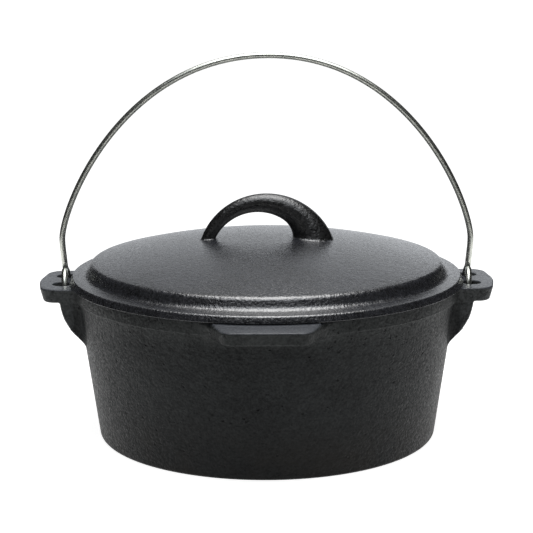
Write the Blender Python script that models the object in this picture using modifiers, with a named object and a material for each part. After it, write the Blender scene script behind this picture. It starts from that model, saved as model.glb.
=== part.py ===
# Flat-bottomed cast iron pot with a lid and a wire bail, for cooking over a camp fire.
# Metres, +Z up. The origin is the centre of the underside, the ears point along +X and -X,
# and the front tab points along -Y.

import math

import bmesh
import bpy
from mathutils import Vector

# Pot wall, floor and rim
BASE_RADIUS = 0.1153  # where the sloping wall would meet the ground
POT_HEIGHT = 0.1064
WALL_DRAFT = math.radians(8.0)
WALL_THICKNESS = 0.0046
FLOOR_THICKNESS = 0.0055
FOOT_ROUND = 0.003
FLOOR_CORNER = 0.010
BAND_HEIGHT = 0.0088
BAND_STEP = 0.0022  # how far the rim band stands out from the wall at its lower edge
BAND_ROUND = 0.0008

# Lid
LID_GAP = 0.0003
LID_OVERHANG = 0.0028
FLANGE_THICKNESS = 0.0046
FLANGE_WIDTH = 0.0118
FLANGE_SLOPE = 0.0018  # how much the flange's edge leans in from bottom to top
FLANGE_RISE = 0.0008  # how much the flange's top rises towards the shoulder
FLANGE_ROUND = 0.0012
SEAT_ROUND = 0.0006
SHOULDER_HEIGHT = 0.0085
SHOULDER_LEAN = 0.0029
SHOULDER_ROUND = 0.0042
SHOULDER_HOLLOW = 0.0040  # round of the hollow where the shoulder meets the flange
DOME_HEIGHT = 0.0160
DOME_POWER = 2.0
LID_THICKNESS = 0.0046
LIP_DEPTH = 0.0050
LIP_THICKNESS = 0.0042
LIP_CLEARANCE = 0.0014

# Lid handle, a horn that thickens from -X to +X
HANDLE_RADIUS = 0.0397
HANDLE_CENTRE_X = -0.0030
HANDLE_SINK = 0.0168  # how far the arc's centre lies below the top of the dome
HANDLE_THIN = 0.0088
HANDLE_THICK = 0.0254
HANDLE_SWELL = 2.0
HANDLE_ROOT_START = 0.66  # from this share of the arc the inner side swells towards the thick foot
HANDLE_ROOT_SWELL = 0.091
HANDLE_DEPTH_RATIO = 0.84
HANDLE_START = math.radians(169)
HANDLE_END = math.radians(9)

# Wire bail
WIRE_DIAMETER = 0.0041
BAIL_GAP = 0.0006  # between the wire and the lid's edge
EYE_INSET = 0.0011  # how much smaller the wire eye is than the line through the two holes
EYE_LEAN = 0.07  # how far the eye and leg lean out for each unit of height
EYE_BEND = 0.006
EYE_OPENING = math.radians(15)
BAIL_RISE = 0.1569
KNEE_RISE = 0.0154  # from the top of the eye's bend to the widest point of the bail
KNEE_SPREAD = 0.0011
KNEE_PULL = 0.0220
CROWN_PULL = 0.0978
CROWN_SHIFT = 0.0014  # the wire is bent by hand, and its crown stands a little towards +X

# Ears on +X and -X
HOLE_DIAMETER = 0.0124
HOLE_SPACING = 0.0262
HOLE_CLEARANCE = 0.0021  # between the wire and the inner side of its hole
EAR_THICKNESS = 0.0086
EAR_DROP = 0.0005  # how far the ears and tabs lie below the rim
EAR_LIP = 0.0107
EAR_CHEEK = 0.0122
EAR_CORNER = 0.011
EAR_BOW = 0.0043  # how far the middle of the tip stands out past its corners
EAR_BOW_ROUND = 0.060
LUG_DRAFT = 0.0012
LUG_ROUND = 0.0014
RIB_THICKNESS = 0.0070
RIB_INSET = 0.0006
RIB_SETBACK = 0.0175  # from the ear's tip to the rib's top corner
RIB_DROP = 0.0300
RIB_BULGE = 0.0028

# Tabs on -Y and +Y
TAB_REACH = 0.0193
TAB_ROOT_WIDTH = 0.067
TAB_TIP_WIDTH = 0.051
TAB_CORNER = 0.0085

TURN_STEPS = 72
ARC_STEPS = 3
DOME_STEPS = 8
RIB_STEPS = 6
HANDLE_STEPS = 18
HOLE_SIDES = 28
EYE_STEPS = 22
BEND_STEPS = 3
CROWN_STEPS = 18
OVERLAP = 0.0020  # how far joined shapes reach into each other

# Sizes that follow from those above
WALL_SLOPE = math.tan(WALL_DRAFT)
EAR_TOP = POT_HEIGHT - EAR_DROP
EAR_BOTTOM = EAR_TOP - EAR_THICKNESS
BAND_RADIUS = BASE_RADIUS + (POT_HEIGHT - BAND_HEIGHT) * WALL_SLOPE + BAND_STEP
RIM_INNER_RADIUS = BASE_RADIUS + POT_HEIGHT * WALL_SLOPE - WALL_THICKNESS
LID_RADIUS = BAND_RADIUS + LID_OVERHANG
LID_SEAT = POT_HEIGHT + LID_GAP
FLANGE_TOP = LID_SEAT + FLANGE_THICKNESS
SHOULDER_FOOT = LID_RADIUS - FLANGE_WIDTH
SHOULDER_RADIUS = SHOULDER_FOOT - SHOULDER_LEAN
SHOULDER_TOP = FLANGE_TOP + SHOULDER_HEIGHT
DOME_TOP = SHOULDER_TOP + DOME_HEIGHT
WIRE_RADIUS = WIRE_DIAMETER / 2
HOLE_RADIUS = HOLE_DIAMETER / 2
HINGE_HEIGHT = EAR_TOP - EAR_THICKNESS / 2
EYE_RADIUS = HOLE_SPACING / 2 - EYE_INSET
EYE_X = LID_RADIUS + BAIL_GAP + WIRE_RADIUS
HOLE_X = EYE_X + HOLE_RADIUS - WIRE_RADIUS - HOLE_CLEARANCE
EAR_TIP = HOLE_X + HOLE_RADIUS + EAR_LIP
EAR_HALF_WIDTH = HOLE_SPACING / 2 + HOLE_RADIUS + EAR_CHEEK
TAB_TIP = LID_RADIUS + TAB_REACH
LUG_ROOT = BAND_RADIUS - BAND_STEP - WALL_THICKNESS  # where the sides of a lug start to close in
LUG_CORE = LUG_ROOT - EAR_HALF_WIDTH  # well inside the pot, where it is cut away again


def clear_scene():
    for obj in list(bpy.data.objects):
        bpy.data.objects.remove(obj, do_unlink=True)


def new_collection(name, hidden=False):
    collection = bpy.data.collections.new(name)
    bpy.context.scene.collection.children.link(collection)
    collection.hide_render = hidden
    return collection


def iron_material(name, shade, roughness):
    material = bpy.data.materials.new(name)
    material.use_nodes = True
    surface = material.node_tree.nodes["Principled BSDF"]
    surface.inputs["Base Color"].default_value = (shade, shade, shade * 1.06, 1)
    surface.inputs["Metallic"].default_value = 0.3
    surface.inputs["Roughness"].default_value = roughness
    return material


def wire_material():
    material = bpy.data.materials.new("zinc_plated_wire")
    material.use_nodes = True
    surface = material.node_tree.nodes["Principled BSDF"]
    surface.inputs["Base Color"].default_value = (0.62, 0.64, 0.62, 1)
    surface.inputs["Metallic"].default_value = 1.0
    surface.inputs["Roughness"].default_value = 0.25
    return material


def arc(centre, radius, start, end, steps=ARC_STEPS):
    """Points along a circle from one angle to another, both ends included."""
    angles = [start + (end - start) * i / steps for i in range(steps + 1)]
    return [(centre[0] + radius * math.cos(a), centre[1] + radius * math.sin(a)) for a in angles]


def rounded(corners, steps=ARC_STEPS):
    """An outline through corners given as (x, y, radius), with each corner turned into an arc."""
    outline = []
    for i, (x, y, radius) in enumerate(corners):
        corner = Vector((x, y))
        if radius == 0:
            outline.append(corner)
            continue
        before = (Vector(corners[i - 1][:2]) - corner).normalized()
        after = (Vector(corners[(i + 1) % len(corners)][:2]) - corner).normalized()
        half_angle = before.angle(after) / 2
        centre = corner + (before + after).normalized() * radius / math.sin(half_angle)
        first = (corner + before * radius / math.tan(half_angle)) - centre
        sweep = first.angle_signed((corner + after * radius / math.tan(half_angle)) - centre)
        for step in range(steps + 1):
            angle = -sweep * step / steps
            spoke = Vector((
                first.x * math.cos(angle) - first.y * math.sin(angle),
                first.x * math.sin(angle) + first.y * math.cos(angle),
            ))
            outline.append(centre + spoke)
    return outline


def link_mesh(name, mesh, collection, material=None):
    obj = bpy.data.objects.new(name, mesh)
    collection.objects.link(obj)
    if material:
        mesh.materials.append(material)
    return obj


def as_cutter(obj):
    obj.hide_render = True
    obj.display_type = "WIRE"
    return obj


def turned(name, profile, collection, material=None):
    """A profile of (radius, height) turned about Z. It starts and ends on the axis."""
    mesh = bpy.data.meshes.new(name)
    points = [(radius, 0, height) for radius, height in profile]
    mesh.from_pydata(points, [(i, i + 1) for i in range(len(points) - 1)], [])
    obj = link_mesh(name, mesh, collection, material)
    screw = obj.modifiers.new("turn", "SCREW")
    screw.axis = "Z"
    screw.steps = TURN_STEPS
    screw.render_steps = TURN_STEPS
    screw.use_merge_vertices = True
    screw.merge_threshold = 0.00001
    return obj


def slab(name, outline, bottom, top, collection):
    """A flat outline raised from bottom to top."""
    curve = bpy.data.curves.new(name, "CURVE")
    curve.dimensions = "2D"
    curve.fill_mode = "BOTH"
    curve.extrude = (top - bottom) / 2
    spline = curve.splines.new("POLY")
    spline.points.add(len(outline) - 1)
    for point, (x, y) in zip(spline.points, outline):
        point.co = (x, y, 0, 1)
    spline.use_cyclic_u = True
    obj = bpy.data.objects.new(name, curve)
    obj.location.z = (top + bottom) / 2
    collection.objects.link(obj)
    return as_mesh(obj)


def as_mesh(curve_object):
    """Swaps a curve object for a mesh object with its caps welded on."""
    bpy.context.view_layer.update()
    graph = bpy.context.evaluated_depsgraph_get()
    mesh = bpy.data.meshes.new_from_object(curve_object.evaluated_get(graph))
    shape = bmesh.new()
    shape.from_mesh(mesh)
    bmesh.ops.remove_doubles(shape, verts=shape.verts, dist=0.000001)
    bmesh.ops.recalc_face_normals(shape, faces=shape.faces)
    shape.to_mesh(mesh)
    shape.free()
    name = curve_object.name
    collection = curve_object.users_collection[0]
    matrix = curve_object.matrix_world.copy()
    bpy.data.objects.remove(curve_object, do_unlink=True)
    mesh.transform(matrix)
    return link_mesh(name, mesh, collection)


def boolean(obj, other, operation):
    modifier = obj.modifiers.new(operation.lower() + "_" + other.name, "BOOLEAN")
    modifier.operation = operation
    modifier.solver = "EXACT"
    modifier.object = other


def wall_radius(height):
    return BASE_RADIUS + height * WALL_SLOPE


def pot_outside():
    """The pot's outer profile, from the rim down the outside to the middle of the base."""
    band_bottom = POT_HEIGHT - BAND_HEIGHT
    return rounded([
        (0, POT_HEIGHT, 0),
        (BAND_RADIUS, POT_HEIGHT, BAND_ROUND),
        (BAND_RADIUS, band_bottom, BAND_ROUND),
        (wall_radius(band_bottom), band_bottom, BAND_ROUND),
        (BASE_RADIUS, 0, FOOT_ROUND),
        (0, 0, 0),
    ])


def pot_inside():
    """The profile of the space inside the pot, from above the rim down to the middle of the floor."""
    above = POT_HEIGHT + OVERLAP
    return rounded([
        (0, above, 0),
        (wall_radius(above) - WALL_THICKNESS, above, 0),
        (wall_radius(FLOOR_THICKNESS) - WALL_THICKNESS, FLOOR_THICKNESS, FLOOR_CORNER),
        (0, FLOOR_THICKNESS, 0),
    ])


def lug(name, half, tip, direction, collection):
    """A flat lug under the rim, turned to point along direction.

    half holds the corners of one side, from inside the pot outwards, as (reach, width, radius).
    """
    corners = [(x, -y, radius) for x, y, radius in half] + tip
    corners += [(x, y, radius) for x, y, radius in reversed(half)]
    obj = slab(name, rounded(corners), EAR_BOTTOM, EAR_TOP, collection)
    middle = (EAR_TOP + EAR_BOTTOM) / 2
    reach, width = half[-1][:2]
    for vertex in obj.data.vertices:
        if vertex.co.z < middle:
            vertex.co.x *= 1 - LUG_DRAFT / reach
            vertex.co.y *= 1 - LUG_DRAFT / width
    obj.rotation_euler.z = direction
    bevel = obj.modifiers.new("edge", "BEVEL")
    bevel.width = LUG_ROUND
    bevel.segments = 2
    bevel.limit_method = "ANGLE"
    bevel.angle_limit = math.radians(50)
    return as_cutter(obj)


def ear(name, collection):
    width = EAR_HALF_WIDTH + LUG_DRAFT
    half = [(LUG_CORE, width, 0), (LUG_ROOT, width, 0), (EAR_TIP - EAR_BOW, EAR_HALF_WIDTH, EAR_CORNER)]
    return lug(name, half, [(EAR_TIP, 0, EAR_BOW_ROUND)], 0, collection)


def tab(name, collection):
    width = TAB_ROOT_WIDTH / 2
    half = [(LUG_CORE, width, 0), (LUG_ROOT, width, 0), (TAB_TIP, TAB_TIP_WIDTH / 2, TAB_CORNER)]
    return lug(name, half, [], -math.pi / 2, collection)


def rib(name, side, collection):
    """One of the two ribs under the ear that points along +X. side is -1 in front and 1 behind."""
    top = EAR_BOTTOM + OVERLAP
    foot = EAR_BOTTOM - RIB_DROP
    outer = side * (EAR_HALF_WIDTH - LUG_DRAFT - RIB_INSET)
    inner = outer - side * RIB_THICKNESS
    root = wall_radius(foot) * math.cos(math.asin(abs(outer) / wall_radius(foot))) - WALL_THICKNESS
    foot_x = root + WALL_THICKNESS - OVERLAP / 2
    tip = EAR_TIP - RIB_SETBACK
    chord = Vector((tip - foot_x, EAR_BOTTOM - foot))
    outward = Vector((chord.y, -chord.x)).normalized()
    outline = [(root, top), (root, foot)]
    for step in range(RIB_STEPS + 1):
        share = step / RIB_STEPS
        point = Vector((foot_x, foot)) + chord * share + outward * RIB_BULGE * 4 * share * (1 - share)
        outline.append((point.x, point.y))
    outline.append((tip, top))
    obj = slab(name, outline, min(inner, outer), max(inner, outer), collection)
    for vertex in obj.data.vertices:
        x, z, y = vertex.co
        vertex.co = (x, y, z)
    obj.data.flip_normals()
    return as_cutter(obj)


def hole(name, x, y, collection):
    bpy.ops.mesh.primitive_cylinder_add(
        vertices=HOLE_SIDES, radius=HOLE_RADIUS, depth=EAR_THICKNESS * 3, location=(x, y, HINGE_HEIGHT)
    )
    obj = bpy.context.object
    obj.name = name
    for owner in list(obj.users_collection):
        owner.objects.unlink(obj)
    collection.objects.link(obj)
    return as_cutter(obj)


def turned_copy(obj, name, angle):
    """A second helper that shares a mesh, turned about Z."""
    copy = obj.copy()
    copy.name = name
    copy.rotation_euler.z += angle
    obj.users_collection[0].objects.link(copy)
    return copy


def make_pot(parts, helpers, material):
    pot = turned("pot", pot_outside(), parts, material)
    ear_right = ear("ear_right", helpers)
    ear_left = turned_copy(ear_right, "ear_left", math.pi)
    tab_front = tab("tab_front", helpers)
    tab_rear = turned_copy(tab_front, "tab_rear", math.pi)
    rib_front = rib("rib_front", -1, helpers)
    rib_rear = rib("rib_rear", 1, helpers)
    added = [ear_right, ear_left, tab_front, tab_rear, rib_front, rib_rear]
    added += [turned_copy(rib_front, "rib_left_rear", math.pi)]
    added += [turned_copy(rib_rear, "rib_left_front", math.pi)]
    for shape in added:
        boolean(pot, shape, "UNION")
    boolean(pot, as_cutter(turned("pot_space", pot_inside(), helpers)), "DIFFERENCE")
    for x in (HOLE_X, -HOLE_X):
        for y in (HOLE_SPACING / 2, -HOLE_SPACING / 2):
            boolean(pot, hole("ear_hole", x, y, helpers), "DIFFERENCE")
    return pot


def dome(radius, edge, steps):
    """Corners of a dome from its middle out towards its edge, at the given radius and height."""
    shares = [step / steps for step in range(steps)]
    return [(radius * share, edge + DOME_HEIGHT * (1 - share ** DOME_POWER), 0) for share in shares]


def lid_outside():
    """The lid's outer profile down from the dome, as if the lid were solid."""
    lip = RIM_INNER_RADIUS - LIP_CLEARANCE
    return rounded(dome(SHOULDER_RADIUS, SHOULDER_TOP, DOME_STEPS) + [
        (SHOULDER_RADIUS, SHOULDER_TOP, SHOULDER_ROUND),
        (SHOULDER_FOOT, FLANGE_TOP + FLANGE_RISE, SHOULDER_HOLLOW),
        (LID_RADIUS - FLANGE_SLOPE, FLANGE_TOP, FLANGE_ROUND),
        (LID_RADIUS, LID_SEAT, SEAT_ROUND),
        (lip, LID_SEAT, 0),
        (lip - LIP_DEPTH * WALL_SLOPE, LID_SEAT - LIP_DEPTH, 0),
        (0, LID_SEAT - LIP_DEPTH, 0),
    ])


def lid_inside():
    """The profile of the hollow under the lid."""
    lip = RIM_INNER_RADIUS - LIP_CLEARANCE - LIP_DEPTH * WALL_SLOPE - LIP_THICKNESS
    shoulder = SHOULDER_RADIUS - LID_THICKNESS
    edge = SHOULDER_TOP - LID_THICKNESS
    below = LID_SEAT - LIP_DEPTH - OVERLAP
    return rounded(dome(shoulder, edge, DOME_STEPS) + [
        (shoulder, edge, SHOULDER_ROUND),
        (lip, FLANGE_TOP - LID_THICKNESS, 0),
        (lip, below, 0),
        (0, below, 0),
    ])


def handle_arc(collection):
    """The horn: an arc over the dome whose thickness grows from one foot to the other."""
    curve = bpy.data.curves.new("handle", "CURVE")
    curve.dimensions = "3D"
    curve.bevel_depth = HANDLE_THICK / 2
    curve.bevel_resolution = 6
    curve.use_fill_caps = True
    spline = curve.splines.new("POLY")
    spline.points.add(HANDLE_STEPS)
    centre_z = DOME_TOP - HANDLE_SINK
    for step, point in enumerate(spline.points):
        share = step / HANDLE_STEPS
        angle = HANDLE_START + (HANDLE_END - HANDLE_START) * share
        root = HANDLE_ROOT_SWELL * max(0, share - HANDLE_ROOT_START) ** 2
        x = HANDLE_CENTRE_X + (HANDLE_RADIUS - root / 2) * math.cos(angle)
        z = centre_z + (HANDLE_RADIUS - root / 2) * math.sin(angle)
        thickness = HANDLE_THIN + (HANDLE_THICK - HANDLE_THIN) * share ** HANDLE_SWELL + root
        point.co = (x, 0, z, 1)
        point.radius = thickness / HANDLE_THICK
    obj = bpy.data.objects.new("handle", curve)
    obj.scale.y = HANDLE_DEPTH_RATIO
    collection.objects.link(obj)
    return as_cutter(as_mesh(obj))


def make_lid(parts, helpers, material):
    lid = turned("lid", lid_outside(), parts, material)
    boolean(lid, handle_arc(helpers), "UNION")
    boolean(lid, as_cutter(turned("lid_space", lid_inside(), helpers)), "DIFFERENCE")
    return lid


def bezier(start, start_pull, end_pull, end, steps):
    """Points of a cubic curve, without its first point."""
    points = []
    for step in range(1, steps + 1):
        t = step / steps
        u = 1 - t
        points.append(
            start * u ** 3 + start_pull * 3 * u * u * t + end_pull * 3 * u * t * t + end * t ** 3
        )
    return points


def bail_half(crown_x):
    """The wire's centre line on the +X side, from the eye's tip to the crown, about the hinge axis.

    The eye is a ring round the web between the ear's two holes. The wire leaves it with a short
    bend behind the hinge axis, so that the leg stands over the middle of the ear.
    """
    join_height = math.sqrt(EYE_RADIUS ** 2 + 2 * EYE_RADIUS * EYE_BEND)
    join_angle = math.atan2(join_height, EYE_BEND)
    tip_angle = math.pi / 2 + EYE_OPENING
    flat = arc((0, 0), EYE_RADIUS, tip_angle, 2 * math.pi + join_angle, EYE_STEPS)
    flat += arc((EYE_BEND, join_height), EYE_BEND, math.pi + join_angle, math.pi, BEND_STEPS)[1:]
    points = [Vector((EYE_X + EYE_LEAN * z, y, z)) for y, z in flat]
    leg_top = points[-1]
    lean = Vector((EYE_LEAN, 0, 1)).normalized()
    knee = Vector((leg_top.x + KNEE_SPREAD, 0, leg_top.z + KNEE_RISE))
    crown = Vector((crown_x, 0, BAIL_RISE))
    reach = KNEE_RISE / 3
    up = Vector((0, 0, 1))
    points += bezier(leg_top, leg_top + lean * reach, knee - up * reach, knee, BEND_STEPS)
    points += bezier(knee, knee + up * KNEE_PULL, crown + Vector((CROWN_PULL, 0, 0)), crown, CROWN_STEPS)
    return points


def make_bail(parts, material):
    left = bail_half(-CROWN_SHIFT)
    path = bail_half(CROWN_SHIFT) + [Vector((-point.x, point.y, point.z)) for point in reversed(left[:-1])]
    curve = bpy.data.curves.new("bail", "CURVE")
    curve.dimensions = "3D"
    curve.bevel_depth = WIRE_RADIUS
    curve.bevel_resolution = 3
    curve.use_fill_caps = True
    spline = curve.splines.new("POLY")
    spline.points.add(len(path) - 1)
    for point, place in zip(spline.points, path):
        point.co = (*place, 1)
    curve.materials.append(material)
    bail = bpy.data.objects.new("bail", curve)
    bail.location.z = HINGE_HEIGHT
    parts.objects.link(bail)
    return bail


clear_scene()
parts = new_collection("cast_iron_pot")
helpers = new_collection("cutters", hidden=True)
make_pot(parts, helpers, iron_material("pot_iron", shade=0.055, roughness=0.55))
make_lid(parts, helpers, iron_material("lid_iron", shade=0.06, roughness=0.5))
make_bail(parts, wire_material())
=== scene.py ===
import math

import bpy
import numpy as np
from mathutils import Matrix, Vector


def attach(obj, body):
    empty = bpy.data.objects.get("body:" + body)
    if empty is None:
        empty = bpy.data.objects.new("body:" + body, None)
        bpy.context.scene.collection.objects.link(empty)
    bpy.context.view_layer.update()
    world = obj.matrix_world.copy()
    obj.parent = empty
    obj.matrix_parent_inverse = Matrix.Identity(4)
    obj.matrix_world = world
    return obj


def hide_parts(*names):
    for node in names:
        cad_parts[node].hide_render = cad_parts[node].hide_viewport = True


# A cast iron camp pot with its lid and wire bail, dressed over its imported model.
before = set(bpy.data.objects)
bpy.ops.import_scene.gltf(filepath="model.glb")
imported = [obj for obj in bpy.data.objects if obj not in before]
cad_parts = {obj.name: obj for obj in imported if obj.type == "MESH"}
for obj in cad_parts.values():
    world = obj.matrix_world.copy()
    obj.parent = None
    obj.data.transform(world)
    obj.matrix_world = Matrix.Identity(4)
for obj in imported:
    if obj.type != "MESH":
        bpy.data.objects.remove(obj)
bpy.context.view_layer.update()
print("pot scene: model loaded")

weldGap = 0.00001


def arcPoints(centre, radius, start, end, steps):
    turns = [start + (end - start) * i / steps for i in range(steps + 1)]
    return [(centre[0] + radius * math.cos(a), centre[1] + radius * math.sin(a)) for a in turns]


def softOutline(corners, steps=6):
    # corners are (x, y, radius); each one with a radius becomes an arc
    outline = []
    for i, (x, y, radius) in enumerate(corners):
        if radius == 0:
            outline.append((x, y))
            continue
        corner = Vector((x, y))
        before = (Vector(corners[i - 1][:2]) - corner).normalized()
        after = (Vector(corners[(i + 1) % len(corners)][:2]) - corner).normalized()
        half = before.angle(after) / 2
        centre = corner + (before + after).normalized() * radius / math.sin(half)
        first = corner + before * radius / math.tan(half) - centre
        last = corner + after * radius / math.tan(half) - centre
        sweep = first.angle_signed(last)
        for step in range(steps + 1):
            turn = Matrix.Rotation(-sweep * step / steps, 2)
            spot = centre + turn @ first
            outline.append((spot.x, spot.y))
    return outline


def linkPiece(name, data):
    piece = bpy.data.objects.new(name, data)
    bpy.context.scene.collection.objects.link(piece)
    return piece


def newPiece(name, points, edges, faces):
    mesh = bpy.data.meshes.new(name)
    mesh.from_pydata(points, edges, faces)
    return linkPiece(name, mesh)


def evaluatedMesh(piece):
    bpy.context.view_layer.update()
    graph = bpy.context.evaluated_depsgraph_get()
    return bpy.data.meshes.new_from_object(piece.evaluated_get(graph))


def settle(piece):
    # swaps a piece's modifiers for the plain mesh that they give
    mesh = evaluatedMesh(piece)
    piece.modifiers.clear()
    old = piece.data
    piece.data = mesh
    bpy.data.meshes.remove(old)
    return piece


def addBoolean(piece, operation, other):
    modifier = piece.modifiers.new(operation.lower(), "BOOLEAN")
    modifier.operation, modifier.solver, modifier.object = operation, "MANIFOLD", other


def unite(piece, other, materials):
    # makes one shell of two pieces and gives it its materials
    addBoolean(piece, "UNION", other)
    settle(piece)
    bpy.data.objects.remove(other)
    piece.data.materials.clear()
    for material in materials:
        piece.data.materials.append(material)


def readVectors(items, attribute):
    flat = np.zeros(len(items) * 3)
    items.foreach_get(attribute, flat)
    return flat.reshape(-1, 3)


def putPoints(mesh, points):
    mesh.vertices.foreach_set("co", np.asarray(points, dtype=np.float32).ravel())
    mesh.update()


def addNode(tree, kind, place, **settings):
    node = tree.nodes.new(kind)
    node.location = place
    for key, value in settings.items():
        setattr(node, key, value)
    return node


def feed(tree, socket, amount):
    # gives a socket a number, a colour or what another node puts out
    if isinstance(amount, (int, float)):
        socket.default_value = amount
    elif isinstance(amount, tuple):
        socket.default_value = (*amount, 1)
    else:
        tree.links.new(amount, socket)


def noiseNode(tree, coords, scale, detail, roughness, place):
    node = addNode(tree, "ShaderNodeTexNoise", place)
    for name, amount in (("Vector", coords), ("Scale", scale), ("Detail", detail), ("Roughness", roughness)):
        feed(tree, node.inputs[name], amount)
    return node.outputs["Fac"]


def remap(tree, value, before, after, place, smooth=False):
    # carries the range before over to the range after
    node = addNode(tree, "ShaderNodeMapRange", place)
    if smooth:
        node.interpolation_type = "SMOOTHSTEP"
    for socket, amount in zip(node.inputs, (value, *before, *after)):
        feed(tree, socket, amount)
    return node.outputs[0]


def combine(tree, operation, a, b, place):
    node = addNode(tree, "ShaderNodeMath", place, operation=operation)
    for socket, amount in zip(node.inputs, (a, b)):
        if amount is not None:
            feed(tree, socket, amount)
    return node.outputs[0]


def mixColours(tree, factor, a, b, place):
    node = addNode(tree, "ShaderNodeMix", place, data_type="RGBA")
    for index, amount in ((0, factor), (6, a), (7, b)):
        feed(tree, node.inputs[index], amount)
    return node.outputs[2]


def newGroup(name, kind, places, inputs, outputs):
    # inputs and outputs name each socket with its kind and its value
    group = bpy.data.node_groups.new(name, kind)
    for side, sockets in (("INPUT", inputs), ("OUTPUT", outputs)):
        for title, (socketKind, amount) in sockets.items():
            socket = group.interface.new_socket(title, in_out=side, socket_type="NodeSocket" + socketKind)
            if amount is not None:
                socket.default_value = amount
    start = addNode(group, "NodeGroupInput", (places[0], 0))
    return group, start, addNode(group, "NodeGroupOutput", (places[1], 0))


grainSizes = {
    # detail and roughness of each noise, after its scale where that is fixed
    "fine": (2.0, 0.6), "medium": (1.0, 0.5), "specks": (1.0, 0.5),
    "cloud": (22.0, 4.0, 0.6), "uneven": (75.0, 2.0, 0.5), "scatter": (130.0, 1.0, 0.5),
    "mediumScale": 0.45, "speckShift": (0.31, 0.17, 0.53), "fineShare": 0.65, "mediumShare": 0.35,
    "pitEdge": (0.10, 0.30), "pitsChosen": (0.58, 0.66), "toneEnds": (0.36, 0.64), "fleckEnds": (0.34, 0.66),
    "toneGrain": 0.7, "toneCloud": 0.3, "pitColour": (0.002, 0.002, 0.002),
}


def castGrainGroup():
    # sand-cast skin: grains, the larger unevenness under them, and a few small pits
    s = grainSizes
    group, start, end = newGroup("castGrain", "ShaderNodeTree", (-1100, 700), {
        "Coordinates": ("Vector", None), "Grain scale": ("Float", 600.0), "Pit scale": ("Float", 210.0),
        "Pit amount": ("Float", 0.4), "Waviness": ("Float", 0.5),
    }, {name: ("Float", None) for name in ("Height", "Tone", "Flecks", "Pits", "Cloud")})
    coords, scale = start.outputs["Coordinates"], start.outputs["Grain scale"]
    fine = noiseNode(group, coords, scale, *s["fine"], (-800, 300))
    wider = combine(group, "MULTIPLY", scale, s["mediumScale"], (-1000, 100))
    medium = noiseNode(group, coords, wider, *s["medium"], (-800, 100))
    shifted = addNode(group, "ShaderNodeVectorMath", (-1000, 520), operation="ADD")
    group.links.new(coords, shifted.inputs[0])
    shifted.inputs[1].default_value = s["speckShift"]
    specks = noiseNode(group, shifted.outputs[0], scale, *s["specks"], (-800, 520))
    cloud = noiseNode(group, coords, *s["cloud"], (-800, -100))
    uneven = noiseNode(group, coords, *s["uneven"], (-800, -300))
    pits = addNode(group, "ShaderNodeTexVoronoi", (-800, -500))
    group.links.new(coords, pits.inputs["Vector"])
    group.links.new(start.outputs["Pit scale"], pits.inputs["Scale"])
    pitShape = remap(group, pits.outputs["Distance"], s["pitEdge"], (1.0, 0.0), (-560, -500), smooth=True)
    scatter = noiseNode(group, coords, *s["scatter"], (-800, -760))
    chosen = remap(group, scatter, s["pitsChosen"], (0.0, 1.0), (-560, -760), smooth=True)
    pitMask = combine(group, "MULTIPLY", pitShape, chosen, (-340, -560))
    pitMask = combine(group, "MULTIPLY", pitMask, start.outputs["Pit amount"], (-140, -560))
    grain = combine(group, "ADD", combine(group, "MULTIPLY", fine, s["fineShare"], (-560, 300)),
                    combine(group, "MULTIPLY", medium, s["mediumShare"], (-560, 120)), (-340, 220))
    wave = combine(group, "MULTIPLY", uneven, start.outputs["Waviness"], (-560, -300))
    height = combine(group, "ADD", grain, wave, (-140, 120))
    for name, value in (
        ("Height", combine(group, "SUBTRACT", height, pitMask, (80, 60))),
        ("Tone", remap(group, grain, s["toneEnds"], (0.0, 1.0), (80, 260))),
        ("Flecks", remap(group, specks, s["fleckEnds"], (0.0, 1.0), (80, 460))),
        ("Pits", pitMask),
        ("Cloud", remap(group, cloud, s["toneEnds"], (0.0, 1.0), (80, -120), smooth=True)),
    ):
        group.links.new(value, end.inputs[name])
    return group


def objectCoords(tree):
    return addNode(tree, "ShaderNodeTexCoord", (-1300, 0)).outputs["Object"]


def splitCoords(tree, coords, place):
    split = addNode(tree, "ShaderNodeSeparateXYZ", place)
    tree.links.new(coords, split.inputs[0])
    return split.outputs


def placeGrain(tree, group, coords, values):
    node = addNode(tree, "ShaderNodeGroup", (-1000, 100))
    node.node_tree = group
    tree.links.new(coords, node.inputs["Coordinates"])
    for name, amount in values.items():
        node.inputs[name].default_value = amount
    return node.outputs


def bumpNormal(tree, height, finish):
    bump = addNode(tree, "ShaderNodeBump", (-300, -400))
    bump.inputs["Strength"].default_value = finish["bump"]
    bump.inputs["Distance"].default_value = finish["bumpDepth"]
    tree.links.new(height, bump.inputs["Height"])
    return bump.outputs["Normal"]


potFinish = {
    "dark": (0.0040, 0.0045, 0.0048), "light": (0.0390, 0.0425, 0.0430), "rough": (0.34, 0.60),
    "specular": 0.145, "ior": 1.5, "bump": 1.0, "bumpDepth": 0.0009,
    "grain": {"Grain scale": 620.0, "Pit scale": 240.0, "Pit amount": 0.7, "Waviness": 0.4},
}
lidFinish = {
    "dark": (0.0030, 0.0032, 0.0042), "light": (0.0370, 0.0390, 0.0470), "rough": (0.16, 0.32),
    "specular": 0.5, "ior": 2.0, "bump": 1.0, "bumpDepth": 0.00048,
    "grain": {"Grain scale": 620.0, "Pit scale": 260.0, "Pit amount": 0.25, "Waviness": 0.3},
}
hornFinish = {
    "dark": (0.0008, 0.0008, 0.0008), "light": (0.0034, 0.0034, 0.0035), "rough": (0.26, 0.38),
    "specular": 0.5, "ior": 1.85, "bump": 1.0, "bumpDepth": 0.0005,
    "grain": {"Grain scale": 620.0, "Pit scale": 260.0, "Pit amount": 0.2, "Waviness": 0.5},
}
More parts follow.
